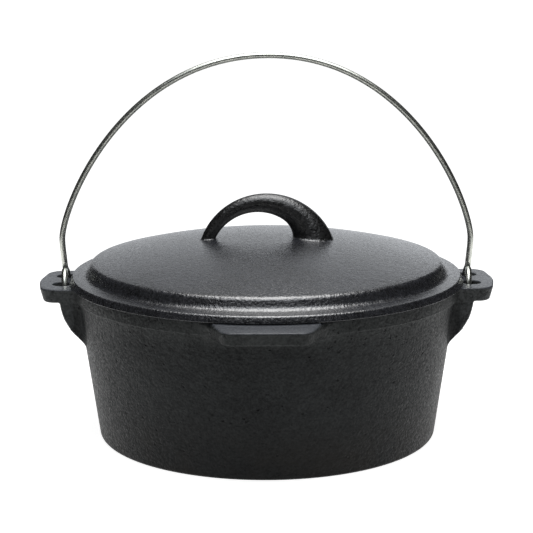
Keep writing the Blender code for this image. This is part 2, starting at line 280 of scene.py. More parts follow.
wireFinish = {
    "bright": (0.74, 0.75, 0.68), "dull": (0.52, 0.54, 0.50), "rough": (0.22, 0.34),
    "cloud": (160.0, 4.0, 0.6), "cloudEnds": (0.35, 0.65), "grain": (1400.0, 2.0, 0.5), "grainEnds": (0.3, 0.7),
    "bump": 0.06, "bumpDepth": 0.0001,
}
potLightAndWear = {
    # the pot's colours, painted shade and painted light among them, and the heights and radii between which
    # they come in
    # painted shade: darker towards the floor
    "shade": 0.45, "shadeTo": 0.06,
    # painted light: the upper wall and band lighter
    "upper": (0.0640, 0.0685, 0.0675), "upperFrom": 0.084, "upperTo": 0.099,
    # painted light: the ears beyond the lid's edge lighter
    "ears": (0.096, 0.102, 0.104), "earsFrom": 0.1180, "edgeInner": 0.1322, "edgeOuter": 0.1334,
    # painted top light on the lug tops, which also get a real polish
    "tops": (0.056, 0.061, 0.073), "topsFrom": 0.1046, "topsTo": 0.1054, "topsLeast": 0.55,
    "polish": 0.6, "polishRough": 0.25,
    "rust": (0.016, 0.013, 0.010), "rustFrom": 0.004, "rustTo": 0.045, "rustMost": 0.55,
}


def newMaterial(name):
    material = bpy.data.materials.new(name)
    material.use_nodes = True
    return material, material.node_tree, material.node_tree.nodes["Principled BSDF"]


def litAndWornColour(tree, surface, coords, tone, cloud):
    # painted shade darker low down, painted light on the upper wall and band and on the ears, painted top light
    # with a real polish on the lug tops, faintly brown rust at the foot
    f, w = potFinish, potLightAndWear

    def times(a, b, place):
        return combine(tree, "MULTIPLY", a, b, place)

    x, y, z = splitCoords(tree, coords, (-1000, -300))
    # painted shade: darker towards the floor
    shade = remap(tree, z, (0.0, w["shadeTo"]), (w["shade"], 1.0), (-760, 700))
    shaded = times(tone, shade, (-560, 700))
    colour = mixColours(tree, shaded, f["dark"], f["light"], (-360, 700))
    # painted light: the upper wall and the band lighter towards the rim
    rim = remap(tree, z, (w["upperFrom"], w["upperTo"]), (0.0, 1.0), (-760, 900), smooth=True)
    colour = mixColours(tree, times(rim, tone, (-560, 900)), colour, w["upper"], (-300, 700))
    across = times(x, x, (-960, -800))
    radius = combine(tree, "ADD", across, times(y, y, (-960, -1000)), (-860, -900))  # squared, as across is
    clear = remap(tree, radius, (w["edgeInner"] ** 2, w["edgeOuter"] ** 2), (0.0, 1.0), (-760, -900))
    # painted light: the ears and their ribs beyond the lid's edge lighter
    onEars = remap(tree, across, (w["earsFrom"] ** 2, w["edgeInner"] ** 2), (0.0, 1.0), (-760, -1100))
    paler = times(times(clear, onEars, (-660, 1200)), tone, (-560, 1100))
    colour = mixColours(tree, paler, colour, w["ears"], (-280, 900))
    # painted top light on the tops of the ears and tabs beyond the lid's edge; the same mask gives them a real
    # polished coat
    high = remap(tree, z, (w["topsFrom"], w["topsTo"]), (0.0, 1.0), (-760, -500), smooth=True)
    spotty = remap(tree, tone, (0.0, 1.0), (w["topsLeast"], 1.0), (-760, -700))
    rubbedTopLight = times(times(high, spotty, (-560, -500)), clear, (-460, -500))
    colour = mixColours(tree, rubbedTopLight, colour, w["tops"], (-260, 500))
    tree.links.new(times(rubbedTopLight, w["polish"], (-260, -560)), surface.inputs["Coat Weight"])
    surface.inputs["Coat Roughness"].default_value = w["polishRough"]
    low = remap(tree, z, (w["rustFrom"], w["rustTo"]), (w["rustMost"], 0.0), (-760, -300), smooth=True)
    return mixColours(tree, times(low, cloud, (-560, -300)), colour, w["rust"], (-160, 300))


def castIron(name, group, finish):
    # black iron: grains stand out by their gloss more than by their colour
    material, tree, surface = newMaterial(name)
    coords = objectCoords(tree)
    grain = placeGrain(tree, group, coords, finish["grain"])
    toneGrain = combine(tree, "MULTIPLY", grain["Tone"], grainSizes["toneGrain"], (-760, 300))
    toneCloud = combine(tree, "MULTIPLY", grain["Cloud"], grainSizes["toneCloud"], (-760, 140))
    tone = combine(tree, "ADD", toneGrain, toneCloud, (-560, 240))
    if finish is potFinish:
        colour = litAndWornColour(tree, surface, coords, tone, grain["Cloud"])
    else:
        colour = mixColours(tree, tone, finish["dark"], finish["light"], (-360, 300))
    colour = mixColours(tree, grain["Pits"], colour, grainSizes["pitColour"], (20, 300))
    tree.links.new(colour, surface.inputs["Base Color"])
    rough = remap(tree, grain["Flecks"], (0.0, 1.0), finish["rough"], (-360, 60))
    tree.links.new(rough, surface.inputs["Roughness"])
    surface.inputs["Specular IOR Level"].default_value = finish["specular"]
    surface.inputs["IOR"].default_value = finish["ior"]
    tree.links.new(bumpNormal(tree, grain["Height"], finish), surface.inputs["Normal"])
    return material


def zincWire(finish):
    # zinc plating, brighter and duller in patches
    material, tree, surface = newMaterial("zincWire")
    coords = objectCoords(tree)
    cloud = noiseNode(tree, coords, *finish["cloud"], (-1000, 200))
    grain = noiseNode(tree, coords, *finish["grain"], (-1000, 0))
    patches = remap(tree, cloud, finish["cloudEnds"], (0.0, 1.0), (-760, 200))
    colour = mixColours(tree, patches, finish["bright"], finish["dull"], (-400, 200))
    tree.links.new(colour, surface.inputs["Base Color"])
    rough = remap(tree, grain, finish["grainEnds"], finish["rough"], (-400, 0))
    tree.links.new(rough, surface.inputs["Roughness"])
    surface.inputs["Metallic"].default_value = 1.0
    tree.links.new(bumpNormal(tree, grain, finish), surface.inputs["Normal"])
    return material


castGrain = castGrainGroup()
potMaterial = castIron("potIron", castGrain, potFinish)
lidMaterial = castIron("lidIron", castGrain, lidFinish)
hornMaterial = castIron("hornIron", castGrain, hornFinish)
wireMaterial = zincWire(wireFinish)
print("pot scene: finishes made")


def closeTree(tree, geometry, start, end, left):
    # both trees end in smooth shading, real geometry and the piece's finish
    for step, kind in enumerate(("SetShadeSmooth", "RealizeInstances", "SetMaterial")):
        node = addNode(tree, "GeometryNode" + kind, (left + 180 * step, 60))
        tree.links.new(geometry, node.inputs["Geometry"])
        geometry = node.outputs[0]
    tree.links.new(start.outputs["Finish"], node.inputs["Material"])
    tree.links.new(geometry, end.inputs["Geometry"])


def turnedTree():
    # turns a row of points (radius on X, height on Z) about the Z axis
    tree, start, end = newGroup("turnedCasting", "GeometryNodeTree", (-1400, 1400), {
        "Geometry": ("Geometry", None), "Profile points": ("Int", 10), "Segments": ("Int", 96),
        "Weld": ("Float", weldGap), "Finish": ("Material", None),
    }, {"Geometry": ("Geometry", None)})
    link = tree.links.new
    grid = addNode(tree, "GeometryNodeMeshGrid", (-950, 100))
    grid.inputs["Size X"].default_value = 1
    grid.inputs["Size Y"].default_value = 1
    link(start.outputs["Profile points"], grid.inputs["Vertices X"])
    link(combine(tree, "ADD", start.outputs["Segments"], 1, (-1150, -150)), grid.inputs["Vertices Y"])
    position = addNode(tree, "GeometryNodeInputPosition", (-950, -250))
    x, y, _ = splitCoords(tree, position.outputs[0], (-770, -250))
    along = combine(tree, "ADD", x, 0.5, (-590, -150))  # the grid reaches from -0.5 to 0.5
    last = combine(tree, "SUBTRACT", start.outputs["Profile points"], 1, (-770, -80))
    spot = combine(tree, "ROUND", combine(tree, "MULTIPLY", along, last, (-410, -100)), None, (-230, -100))
    around = combine(tree, "ADD", y, 0.5, (-590, -350))
    turn = combine(tree, "MULTIPLY", around, -2 * math.pi, (-410, -350))
    sample = addNode(tree, "GeometryNodeSampleIndex", (-30, -50), data_type="FLOAT_VECTOR", domain="POINT")
    link(start.outputs["Geometry"], sample.inputs["Geometry"])
    link(addNode(tree, "GeometryNodeInputPosition", (-230, 60)).outputs[0], sample.inputs["Value"])
    link(spot, sample.inputs["Index"])
    radius, _, height = splitCoords(tree, sample.outputs[0], (150, -50))
    place = addNode(tree, "ShaderNodeCombineXYZ", (520, -150))
    for axis, operation, low in (("X", "COSINE", -250), ("Y", "SINE", -400)):
        share = combine(tree, operation, turn, None, (150, low))
        link(combine(tree, "MULTIPLY", radius, share, (340, low + 100)), place.inputs[axis])
    link(height, place.inputs["Z"])
    setPosition = addNode(tree, "GeometryNodeSetPosition", (520, 100))
    link(grid.outputs["Mesh"], setPosition.inputs["Geometry"])
    link(place.outputs[0], setPosition.inputs["Position"])
    weld = addNode(tree, "GeometryNodeMergeByDistance", (700, 100))
    link(setPosition.outputs[0], weld.inputs["Geometry"])
    link(start.outputs["Weld"], weld.inputs["Distance"])
    closeTree(tree, weld.outputs[0], start, end, 880)
    return tree


def addTree(piece, tree, values):
    # runs a tree on a piece; its inputs are set by their identifiers
    modifier = piece.modifiers.new(tree.name, "NODES")
    modifier.node_group = tree
    for item in tree.interface.items_tree:
        if item.in_out == "INPUT" and item.name in values:
            modifier[item.identifier] = values[item.name]


def turnedPiece(name, profile, segments, material):
    edges = [(i, i + 1) for i in range(len(profile) - 1)]
    piece = newPiece(name, [(r, 0, z) for r, z in profile], edges, [])
    addTree(piece, turnedNodes, {"Profile points": len(profile), "Segments": segments, "Finish": material})
    return settle(piece)


turnedNodes = turnedTree()


potSizes = {
    "baseRadius": 0.1153, "height": 0.1064, "draft": math.radians(8), "wall": 0.0046, "floor": 0.0055,
    "footRound": 0.003, "floorCorner": 0.010, "bandHeight": 0.0088, "bandStep": 0.0022, "bandRound": 0.0009,
    "bandBlend": 0.0022, "rimRound": 0.0007, "segments": 240, "wallRings": 12, "longRun": 0.02,
}
potSizes["slope"] = math.tan(potSizes["draft"])
potSizes["bandBottom"] = potSizes["height"] - potSizes["bandHeight"]


def wallRadius(height):
    return potSizes["baseRadius"] + height * potSizes["slope"]


potSizes["bandRadius"] = wallRadius(potSizes["bandBottom"]) + potSizes["bandStep"]


def spread(first, last, count):
    # points between two ends, both left out
    shares = [i / (count + 1) for i in range(1, count + 1)]
    return [tuple(a + (b - a) * share for a, b in zip(first, last)) for share in shares]


def potProfile():
    s = potSizes
    outline = softOutline([
        (0, 0, 0), (s["baseRadius"], 0, s["footRound"]),
        (wallRadius(s["bandBottom"]), s["bandBottom"], s["bandRound"]),
        (s["bandRadius"], s["bandBottom"], s["bandRound"]),
        (s["bandRadius"], s["height"], s["bandRound"]),
        (wallRadius(s["height"]) - s["wall"], s["height"], s["rimRound"]),
        (wallRadius(s["floor"]) - s["wall"], s["floor"], s["floorCorner"]),
        (0, s["floor"], 0),
    ])
    points = [outline[0]]
    for a, b in zip(outline, outline[1:]):
        if math.dist(a, b) > s["longRun"]:
            points += spread(a, b, s["wallRings"])
        points.append(b)
    return points


lugSizes = {
    "holeRadius": 0.0062, "holeX": 0.13872, "holeY": 0.0131, "holeRound": 0.0007,
    "top": 0.1059, "bottom": 0.0973, "draft": 0.0012, "edgeRound": 0.0013, "root": 0.1244, "core": 0.0929,
    "earBottom": 0.0962, "earDraft": 0.0026, "earTip": 0.15562, "earWidth": 0.0315, "earCorner": 0.011,
    "earBow": 0.0043, "earBowRound": 0.060,
    "tabTip": 0.15332, "tabRoot": 0.0366, "tabEnd": 0.0270, "tabCorner": 0.0095, "cornerSteps": 8,
    "ribThick": 0.0070, "ribInset": 0.0006, "ribSetback": 0.0170, "ribDrop": 0.0300, "ribBulge": 0.0047,
    "ribRound": 0.0012, "ribBlend": 0.0016, "ribSunk": 0.001, "ribInner": 0.02, "ribOverlap": 0.004,
    "ribSteps": 12,
    "castBlend": 0.0046, "tabBlend": 0.0085, "sink": 0.0006, "sinkReach": 0.0045,
    "skin": 0.0023, "capHeight": 0.1061,
}
patchSizes = {
    # the blocks round a lug, and how their meshes are drawn on to the shape
    "ear": ((0.108, -0.046, 0.052), (0.160, 0.046, 0.112)),
    "tab": ((-0.054, 0.108, 0.078), (0.054, 0.160, 0.112)),
    "voxel": 0.0008, "voxelsFromCut": 1.6, "shallow": 0.0007, "deep": 0.0039,
    "sweeps": 7, "smoothSweeps": (2, 4, 5), "smoothing": 0.5, "pulls": 2, "longestPull": 0.0012,
    "slopeStep": 0.00002, "shadedOutside": 0.112, "shadedBelow": 0.1063, "shadedWithin": 0.00012,
}


def polygonDistance(x, y, outline):
    # signed distance to a closed outline, negative inside
    nearest = np.full(x.shape, np.inf)
    inside = np.zeros(x.shape, dtype=bool)
    for (ax, ay), (bx, by) in zip(outline, outline[1:] + outline[:1]):
        ex, ey = bx - ax, by - ay
        px, py = x - ax, y - ay
        share = np.clip((px * ex + py * ey) / (ex * ex + ey * ey), 0, 1)
        nearest = np.minimum(nearest, (px - ex * share) ** 2 + (py - ey * share) ** 2)
        if ay != by:
            crosses = ((ay > y) != (by > y)) & (x < ex * (y - ay) / ey + ax)
            inside ^= crosses
    return np.where(inside, -1, 1) * np.sqrt(nearest)


def blendUnion(a, b, reach):
    share = np.maximum(reach - np.abs(a - b), 0) / reach
    return np.minimum(a, b) - share * share * reach / 4


def softSlab(flat, offset, half, edge):
    # a flat shape with thickness and rounded edges
    across, along = flat + edge, np.abs(offset) - half + edge
    outer = np.hypot(np.maximum(across, 0), np.maximum(along, 0))
    return outer + np.minimum(np.maximum(across, along), 0) - edge


def wallDistance(p):
    s = potSizes
    return (np.hypot(p[:, 0], p[:, 1]) - s["baseRadius"] - s["slope"] * p[:, 2]) * math.cos(s["draft"])


def bodyDistance(p):
    # the wall with its rim band
    s = potSizes
    half = s["bandHeight"] / 2
    flat = np.hypot(p[:, 0], p[:, 1]) - s["bandRadius"]
    band = softSlab(flat, p[:, 2] - (s["height"] - half), half, s["bandRound"])
    return blendUnion(wallDistance(p), band, s["bandBlend"])


def flatLug(p, out, side, outline, bottom, draft):
    # an ear or a tab, wider at its foot by the draft
    s = lugSizes
    half = (s["top"] - bottom) / 2
    drafted = draft * (s["top"] - p[:, 2]) / (half * 2)
    flat = polygonDistance(np.abs(p[:, out]), p[:, side], outline) + np.clip(drafted, 0, draft)
    return softSlab(flat, p[:, 2] - (s["top"] + bottom) / 2, half, s["edgeRound"])


def earOutline():
    s = lugSizes
    wide = s["earWidth"] + s["draft"] / 2
    return softOutline([
        (s["core"], -wide, 0), (s["root"], -wide, 0),
        (s["earTip"] - s["earBow"], -s["earWidth"], s["earCorner"]), (s["earTip"], 0, s["earBowRound"]),
        (s["earTip"] - s["earBow"], s["earWidth"], s["earCorner"]),
        (s["root"], wide, 0), (s["core"], wide, 0),
    ], s["cornerSteps"])


def tabOutline():
    s = lugSizes
    return softOutline([
        (s["core"], -s["tabRoot"], 0), (s["root"], -s["tabRoot"], 0),
        (s["tabTip"], -s["tabEnd"], s["tabCorner"]), (s["tabTip"], s["tabEnd"], s["tabCorner"]),
        (s["root"], s["tabRoot"], 0), (s["core"], s["tabRoot"], 0),
    ], s["cornerSteps"])


def ribReach():
    # how far the outer faces of an ear's ribs stand from the middle
    return lugSizes["earWidth"] - lugSizes["draft"] - lugSizes["ribInset"]


def ribOutline():
    # a rib from the side: it runs from low on the wall to the ear, bulging outwards
    s = lugSizes
    foot = s["bottom"] - s["ribDrop"]
    rootX = math.sqrt(wallRadius(foot) ** 2 - ribReach() ** 2)
    start = Vector((rootX - s["ribSunk"], foot))
    chord = Vector((s["earTip"] - s["ribSetback"], s["bottom"])) - start
    outward = Vector((chord.y, -chord.x)).normalized()
    top = s["bottom"] + s["ribOverlap"]
    outline = [(rootX - s["ribInner"], top), (rootX - s["ribInner"], foot)]
    for step in range(s["ribSteps"] + 1):
        share = step / s["ribSteps"]
        spot = start + chord * share + outward * s["ribBulge"] * 4 * share * (1 - share)
        outline.append((spot.x, spot.y))
    outline.append((start.x + chord.x, top))
    return outline


earLine, tabLine, ribLine = earOutline(), tabOutline(), ribOutline()


def earDistance(p):
    s = lugSizes
    ear = flatLug(p, 0, 1, earLine, s["earBottom"], s["earDraft"])
    flat = polygonDistance(np.abs(p[:, 0]), p[:, 2], ribLine)
    rib = softSlab(flat, np.abs(p[:, 1]) - ribReach() + s["ribThick"] / 2, s["ribThick"] / 2, s["ribRound"])
    return blendUnion(ear, rib, s["ribBlend"])


def tabDistance(p):
    return flatLug(p, 1, 0, tabLine, lugSizes["bottom"], lugSizes["draft"])


def holeDistance(p):
    s = lugSizes
    return np.hypot(np.abs(p[:, 0]) - s["holeX"], np.abs(p[:, 1]) - s["holeY"]) - s["holeRadius"]


def drill(p, shape):
    return -blendUnion(-shape, holeDistance(p), lugSizes["holeRound"])


def castDistance(p, lug, blend, holes):
    # the cast shape round a lug, blended into the wall, with its holes
    shape = blendUnion(bodyDistance(p), lug, blend)
    shape = np.maximum(shape, p[:, 2] - lugSizes["capHeight"])
    return drill(p, shape) if holes else shape


def patchDistance(p, distance, blend, holes):
    # as castDistance, but past the blend the patch sinks into the iron that it joins
    s = lugSizes
    lug = distance(p)
    away = np.clip((lug - blend) / s["sinkReach"], 0, 1)
    shape = castDistance(p, lug, blend, holes) + s["sink"] * away * away * (3 - 2 * away)
    return np.maximum(shape, -s["skin"] - wallDistance(p))


def wholeDistance(p):
    # the body with all its lugs and holes, for the shading
    body = bodyDistance(p)
    ears = blendUnion(body, earDistance(p), lugSizes["castBlend"])
    tabs = blendUnion(body, tabDistance(p), lugSizes["tabBlend"])
    return drill(p, np.minimum(ears, tabs))


def slopeOf(field, p):
    # the direction in which a field grows fastest
    tiny = patchSizes["slopeStep"]
    steps = []
    for axis in range(3):
        move = np.zeros(3)
        move[axis] = tiny
        steps.append((field(p + move) - field(p - move)) / (2 * tiny))
    slope = np.stack(steps, axis=1)
    return slope / np.maximum(np.linalg.norm(slope, axis=1, keepdims=True), 1e-9)


def neighbourMean(mesh, points):
    ends = np.zeros(len(mesh.edges) * 2, dtype=np.int64)
    mesh.edges.foreach_get("vertices", ends)
    ends = ends.reshape(-1, 2)
    total = np.zeros_like(points)
    count = np.zeros(len(points))
    for a, b in ((0, 1), (1, 0)):
        np.add.at(total, ends[:, a], points[ends[:, b]])
        np.add.at(count, ends[:, a], 1)
    return total / np.maximum(count, 1)[:, None]


def boxPiece(name, lowest, highest):
    (x1, y1, z1), (x2, y2, z2) = lowest, highest
    corners = [(x, y, z) for x in (x1, x2) for y in (y1, y2) for z in (z1, z2)]
    faces = [(0, 1, 3, 2), (4, 6, 7, 5), (0, 4, 5, 1), (2, 3, 7, 6), (0, 2, 6, 4), (1, 5, 7, 3)]
    return newPiece(name, corners, [], faces)


def lugBlock(name, lowest, highest):
    # the CAD pot inside a box, remeshed
    piece = linkPiece(name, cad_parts["pot"].data.copy())
    weld = piece.modifiers.new("weld", "WELD")
    weld.merge_threshold = weldGap
    block = boxPiece(name + "Block", lowest, highest)
    addBoolean(piece, "INTERSECT", block)
    remesh = piece.modifiers.new("remesh", "REMESH")
    remesh.mode, remesh.voxel_size = "VOXEL", patchSizes["voxel"]
    settle(piece)
    bpy.data.objects.remove(block)
    return piece


def lugPatch(name, block, distance, blend, holes):
    # a remeshed block of the pot, drawn on to the blended shape round one lug
    s = patchSizes
    patch = lugBlock(name, *block)

    def field(p):
        return patchDistance(p, distance, blend, holes)

    points = readVectors(patch.data.vertices, "co")
    low, high = np.array(block)
    margin = s["voxelsFromCut"] * s["voxel"]
    depth = -wallDistance(points)
    onCut = ((points[:, :2] - low[:2] < margin) | (high[:2] - points[:, :2] < margin)).any(axis=1)
    onCut |= points[:, 2] - low[2] < margin
    moved = ~onCut | (depth < s["shallow"]) | (depth > s["deep"])
    for sweep in range(s["sweeps"]):
        if sweep in s["smoothSweeps"]:
            mean = neighbourMean(patch.data, points)
            points[moved] += s["smoothing"] * (mean[moved] - points[moved])
        part = points[moved]
        for _ in range(s["pulls"]):
            pull = np.clip(field(part), -s["longestPull"], s["longestPull"])
            part = part - pull[:, None] * slopeOf(field, part)
        points[moved] = part
    putPoints(patch.data, points)
    miss = float(np.abs(field(points[moved])).max() * 1000)
    print("pot scene:", name, len(patch.data.polygons), "faces, largest miss in mm", round(miss, 3))
    return patch


def halfTurn(piece, name):
    twin = linkPiece(name, piece.data.copy())
    twin.data.transform(Matrix.Rotation(math.pi, 4, "Z"))
    return twin


def joinPieces(pieces, name):
    # several meshes in one, kept as separate shells
    points, faces, start = [], [], 0
    for piece in pieces:
        points += [tuple(v.co) for v in piece.data.vertices]
        faces += [[start + i for i in face.vertices] for face in piece.data.polygons]
        start = len(points)
        bpy.data.objects.remove(piece)
    return newPiece(name, points, [], faces)


def fieldNormals(mesh, field):
    # shading follows the shape itself where a vertex lies on it
    s = patchSizes
    mesh.shade_smooth()
    points = readVectors(mesh.vertices, "co")
    corners = readVectors(mesh.corner_normals, "vector")
    owners = np.zeros(len(mesh.loops), dtype=np.int64)
    mesh.loops.foreach_get("vertex_index", owners)
    close = (np.hypot(points[:, 0], points[:, 1]) > s["shadedOutside"]) & (points[:, 2] < s["shadedBelow"])
    close[close] &= np.abs(field(points[close])) < s["shadedWithin"]
    normals = np.zeros_like(points)
    normals[close] = slopeOf(field, points[close])
    chosen = close[owners]
    corners[chosen] = normals[owners[chosen]]
    mesh.normals_split_custom_set(corners)


def makePot():
    pot = turnedPiece("castPot", potProfile(), potSizes["segments"], potMaterial)
    ear = lugPatch("earRight", patchSizes["ear"], earDistance, lugSizes["castBlend"], True)
    tab = lugPatch("tabRear", patchSizes["tab"], tabDistance, lugSizes["tabBlend"], False)
    lugs = joinPieces([ear, halfTurn(ear, "earLeft"), tab, halfTurn(tab, "tabFront")], "lugs")
    unite(pot, lugs, [potMaterial])
    fieldNormals(pot.data, wholeDistance)
    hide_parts("pot")
    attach(pot, "pot")
    print("pot scene: pot made,", len(pot.data.polygons), "faces")


makePot()


lidSizes = {
    "gap": 0.0003, "overhang": 0.0028, "flangeThick": 0.0046, "flangeWidth": 0.0118, "flangeSlope": 0.0018,
    "flangeRise": 0.0008, "flangeRound": 0.0018, "footRound": 0.0050, "seatRound": 0.0002,
    "shoulderHeight": 0.0085, "shoulderLean": 0.0029, "shoulderRound": 0.0042,
    "domeHeight": 0.0160, "domePower": 2.0, "thick": 0.0046,
    "lipDepth": 0.0050, "lipThick": 0.0042, "lipClearance": 0.0014, "lipRound": 0.0007, "innerRound": 0.0015,
    "segments": 256, "domeRings": 26,
}


def lidLevels():
    # heights of the seat, the flange's top and the dome's edge, then the radii of rim, foot and dome
    s = lidSizes
    seat = potSizes["height"] + s["gap"]
    flangeTop = seat + s["flangeThick"]
    radius = potSizes["bandRadius"] + s["overhang"]
    foot = radius - s["flangeWidth"]
    return seat, flangeTop, flangeTop + s["shoulderHeight"], radius, foot, foot - s["shoulderLean"]


def domeLine(radius, edge):
    s = lidSizes
    shares = [i / s["domeRings"] for i in range(s["domeRings"])]
    return [(radius * share, edge + s["domeHeight"] * (1 - share ** s["domePower"]), 0) for share in shares]


def domeHeightAt(radius):
    _, _, edge, _, _, shoulder = lidLevels()
    return edge + lidSizes["domeHeight"] * (1 - np.clip(radius / shoulder, 0, 1) ** lidSizes["domePower"])


def lidProfile():
    s = lidSizes
    seat, flangeTop, edge, radius, foot, shoulder = lidLevels()
    lip = wallRadius(potSizes["height"]) - potSizes["wall"] - s["lipClearance"]
    lipFoot = lip - s["lipDepth"] * potSizes["slope"]
    lipInner = lipFoot - s["lipThick"]
    innerDome = domeLine(shoulder - s["thick"], edge - s["thick"])
    outline = softOutline(domeLine(shoulder, edge) + [
        (shoulder, edge, s["shoulderRound"]), (foot, flangeTop + s["flangeRise"], s["footRound"]),
        (radius - s["flangeSlope"], flangeTop, s["flangeRound"]), (radius, seat, s["seatRound"]),
        (lip, seat, 0), (lipFoot, seat - s["lipDepth"], s["lipRound"]),
        (lipInner, seat - s["lipDepth"], s["lipRound"]), (lipInner, flangeTop - s["thick"], s["innerRound"]),
        (shoulder - s["thick"], edge - s["thick"], s["shoulderRound"]),
    ] + innerDome[::-1])
    return outline[::-1]  # from the inside outwards, so that the faces point out


hornSizes = {
    "radius": 0.0397, "centreX": -0.0030, "sink": 0.0168, "thin": 0.0088, "thick": 0.0254, "swell": 2.0,
    "rootStart": 0.66, "rootSwell": 0.091, "depthRatio": 0.84,
    "start": math.radians(169), "end": math.radians(9), "steps": 150, "sides": 72,
    "footRound": 0.0008, "flareLift": 0.3, "buried": 0.0033, "finishFrom": 0.0004,
}


def sweptTree():
    # a round bar along a line; the line's own radius gives its thickness
    tree, start, end = newGroup("sweptBar", "GeometryNodeTree", (-900, 1100), {
        "Geometry": ("Geometry", None), "Sides": ("Int", 24), "Depth ratio": ("Float", 1.0),
        "Finish": ("Material", None),
    }, {"Geometry": ("Geometry", None)})
    link = tree.links.new
    ring = addNode(tree, "GeometryNodeCurvePrimitiveCircle", (-700, -200), mode="RADIUS")
    ring.inputs["Radius"].default_value = 1
    link(start.outputs["Sides"], ring.inputs["Resolution"])
    sweep = addNode(tree, "GeometryNodeCurveToMesh", (-280, 60))
    sweep.inputs["Fill Caps"].default_value = True
    link(start.outputs["Geometry"], sweep.inputs["Curve"])
    link(ring.outputs["Curve"], sweep.inputs["Profile Curve"])
    link(addNode(tree, "GeometryNodeInputRadius", (-700, -340)).outputs[0], sweep.inputs["Scale"])
    ratio = addNode(tree, "ShaderNodeCombineXYZ", (-100, -340))
    ratio.inputs["X"].default_value = 1
    ratio.inputs["Z"].default_value = 1
    link(start.outputs["Depth ratio"], ratio.inputs["Y"])
    squeeze = addNode(tree, "ShaderNodeVectorMath", (100, -240), operation="MULTIPLY")
    link(addNode(tree, "GeometryNodeInputPosition", (-280, -240)).outputs[0], squeeze.inputs[0])
    link(ratio.outputs[0], squeeze.inputs[1])
    place = addNode(tree, "GeometryNodeSetPosition", (300, 60))
    link(sweep.outputs[0], place.inputs["Geometry"])
    link(squeeze.outputs[0], place.inputs["Position"])
    closeTree(tree, place.outputs[0], start, end, 480)
    return tree


def sweptPiece(name, points, radii, sides, depthRatio, material):
    curve = bpy.data.curves.new(name + "Line", "CURVE")
    curve.dimensions = "3D"
    spline = curve.splines.new("POLY")
    spline.points.add(len(points) - 1)
    for point, place, radius in zip(spline.points, points, radii):
        point.co = (*place, 1)
        point.radius = radius
    line = linkPiece(name + "Line", curve)
    addTree(line, sweptNodes, {"Sides": sides, "Depth ratio": depthRatio, "Finish": material})
    mesh = evaluatedMesh(line)
    bpy.data.objects.remove(line)
    return linkPiece(name, mesh)


def makeHorn():
    s = hornSizes
    top = float(domeHeightAt(0.0))
    points, radii = [], []
    for step in range(s["steps"] + 1):
        share = step / s["steps"]
        angle = s["start"] + (s["end"] - s["start"]) * share
        root = s["rootSwell"] * max(0, share - s["rootStart"]) ** 2
        reach = s["radius"] - root / 2
        points.append((s["centreX"] + reach * math.cos(angle), 0, top - s["sink"] + reach * math.sin(angle)))
        radii.append((s["thin"] + (s["thick"] - s["thin"]) * share ** s["swell"] + root) / 2)
    horn = sweptPiece("horn", points, radii, s["sides"], s["depthRatio"], hornMaterial)
    # the foot flares where it meets the dome
    place = readVectors(horn.data.vertices, "co")
    outward = readVectors(horn.data.vertex_normals, "vector")
    outward[:, 2] *= s["flareLift"]
    above = place[:, 2] - domeHeightAt(np.hypot(place[:, 0], place[:, 1]))
    left = np.clip(s["footRound"] - above, 0, s["footRound"])
    flare = s["footRound"] - np.sqrt(s["footRound"] ** 2 - left ** 2)
    place += outward * flare[:, None]
    place[:, 2] = np.maximum(place[:, 2], top - s["buried"])
    putPoints(horn.data, place)
    return horn


def markHorn(mesh):
    # faces that stand above the dome take the horn's finish
    for face in mesh.polygons:
        centre = face.center
        above = centre.z - float(domeHeightAt(math.hypot(centre.x, centre.y)))
        face.material_index = 1 if above > hornSizes["finishFrom"] else 0


def makeLid():
    lid = turnedPiece("castLid", lidProfile(), lidSizes["segments"], lidMaterial)
    unite(lid, makeHorn(), [lidMaterial, hornMaterial])
    markHorn(lid.data)
    lid.data.shade_smooth()
    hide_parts("lid")
    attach(lid, "lid")
    print("pot scene: lid made,", len(lid.data.polygons), "faces")


sweptNodes = sweptTree()
makeLid()


bailSizes = {
    "wire": 0.0041, "eyeX": 0.13667, "eyeRadius": 0.0120, "eyeLean": 0.07, "eyeBend": 0.006,
    "eyeOpening": math.radians(15), "rise": 0.1569, "kneeRise": 0.0154, "kneeSpread": 0.0011,
    "kneePull": 0.0220, "crownPull": 0.0978, "crownShift": 0.0014, "hinge": 0.1016,
    "eyeSteps": 64, "bendSteps": 10, "crownSteps": 80, "sides": 28,
}


def curvePoints(start, startPull, endPull, end, steps):
    points = []
    for step in range(1, steps + 1):
        t = step / steps
        u = 1 - t
        points.append(start * u ** 3 + startPull * 3 * u * u * t + endPull * 3 * u * t * t + end * t ** 3)
    return points


def bailHalf(crownX):
    # from the end of the wire round the eye, up the leg and over to the crown
    s = bailSizes
    joinHeight = math.sqrt(s["eyeRadius"] ** 2 + 2 * s["eyeRadius"] * s["eyeBend"])
    joinAngle = math.atan2(joinHeight, s["eyeBend"])
    eyeStart, eyeEnd = math.pi / 2 + s["eyeOpening"], 2 * math.pi + joinAngle
    eye = arcPoints((0, 0), s["eyeRadius"], eyeStart, eyeEnd, s["eyeSteps"])
    bendMiddle = (s["eyeBend"], joinHeight)
    eye += arcPoints(bendMiddle, s["eyeBend"], math.pi + joinAngle, math.pi, s["bendSteps"])[1:]
    points = [Vector((s["eyeX"] + s["eyeLean"] * z, y, z)) for y, z in eye]
    legTop = points[-1]
    lean = Vector((s["eyeLean"], 0, 1)).normalized()
    up = Vector((0, 0, 1))
    knee = Vector((legTop.x + s["kneeSpread"], 0, legTop.z + s["kneeRise"]))
    crown = Vector((crownX, 0, s["rise"]))
    reach = s["kneeRise"] / 3
    points += curvePoints(legTop, legTop + lean * reach, knee - up * reach, knee, s["bendSteps"])
    crownPull = crown + Vector((s["crownPull"], 0, 0))
    points += curvePoints(knee, knee + up * s["kneePull"], crownPull, crown, s["crownSteps"])
    return points


